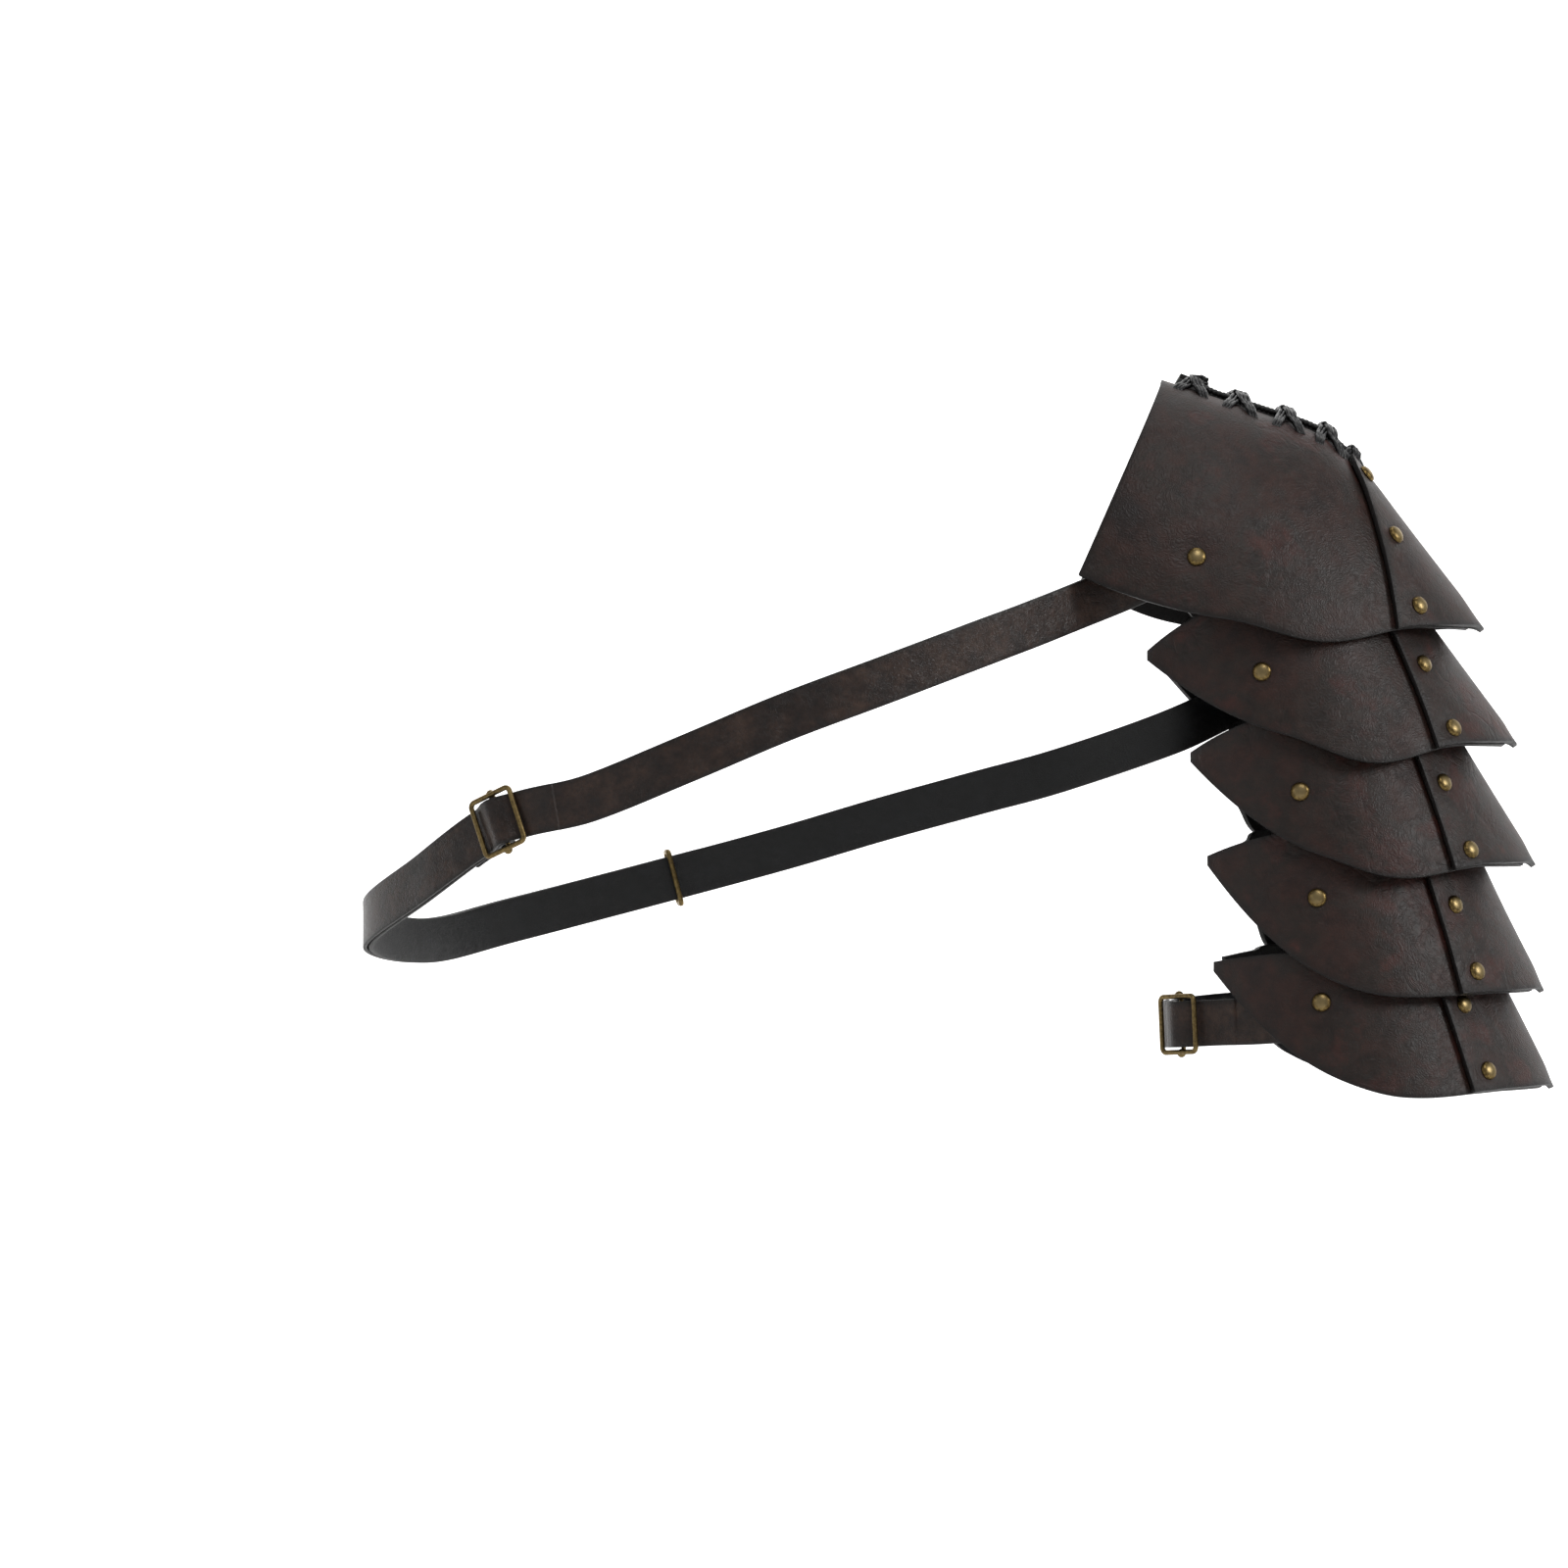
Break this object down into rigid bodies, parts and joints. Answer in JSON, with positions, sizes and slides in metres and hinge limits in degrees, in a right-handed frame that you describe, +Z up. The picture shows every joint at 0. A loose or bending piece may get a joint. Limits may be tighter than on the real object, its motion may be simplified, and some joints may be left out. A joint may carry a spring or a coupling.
{
  "type": "leather pauldron with chest strap",
  "caption": "Layered leather shoulder guard: overlapping lames riveted over the upper arm, a laced ridge, and a strap loop round the chest with slider and keeper ring.",
  "frame": {"origin": "where the pauldron sits on the shoulder, under the laced ridge", "axes": "+X away from the wearer's body along the shoulder, -Y to the wearer's front, +Z up"},
  "size_m": [0.5104, 0.2158, 0.3073],
  "materials": {
    "lame_leather": "satin",
    "strap_leather": "satin",
    "antique_brass": "satin",
    "waxed_cord": "satin"
  },
  "bodies": {
    "root": {"front_plate_1": "lame_leather", "front_plate_2": "lame_leather", "front_plate_3": "lame_leather", "front_plate_4": "lame_leather", "front_plate_5": "lame_leather", "rear_plate_1": "lame_leather", "rear_plate_2": "lame_leather", "rear_plate_3": "lame_leather", "rear_plate_4": "lame_leather", "rear_plate_5": "lame_leather", "seam_rivet_1_1": "antique_brass", "seam_rivet_1_2": "antique_brass", "seam_rivet_1_3": "antique_brass", "seam_rivet_2_1": "antique_brass", "seam_rivet_2_2": "antique_brass", "seam_rivet_3_1": "antique_brass", "seam_rivet_3_2": "antique_brass", "seam_rivet_4_1": "antique_brass", "seam_rivet_4_2": "antique_brass", "seam_rivet_5_1": "antique_brass", "seam_rivet_5_2": "antique_brass", "front_rivet_1": "antique_brass", "front_rivet_2": "antique_brass", "front_rivet_3": "antique_brass", "front_rivet_4": "antique_brass", "front_rivet_5": "antique_brass", "rear_rivet_1": "antique_brass", "rear_rivet_2": "antique_brass", "rear_rivet_3": "antique_brass", "rear_rivet_4": "antique_brass", "rear_rivet_5": "antique_brass", "hanging_strap_front": "strap_leather", "hanging_strap_rear": "strap_leather", "chest_strap_front": "strap_leather", "chest_strap_rear": "strap_leather", "arm_strap_front": "strap_leather", "arm_strap_rear": "strap_leather", "chest_slider": "antique_brass", "arm_slider": "antique_brass", "keeper_ring": "antique_brass", "lacing_1": "waxed_cord", "lacing_2": "waxed_cord", "lacing_3": "waxed_cord", "lacing_4": "waxed_cord", "lacing_5": "waxed_cord"}
  },
  "joints": []
}
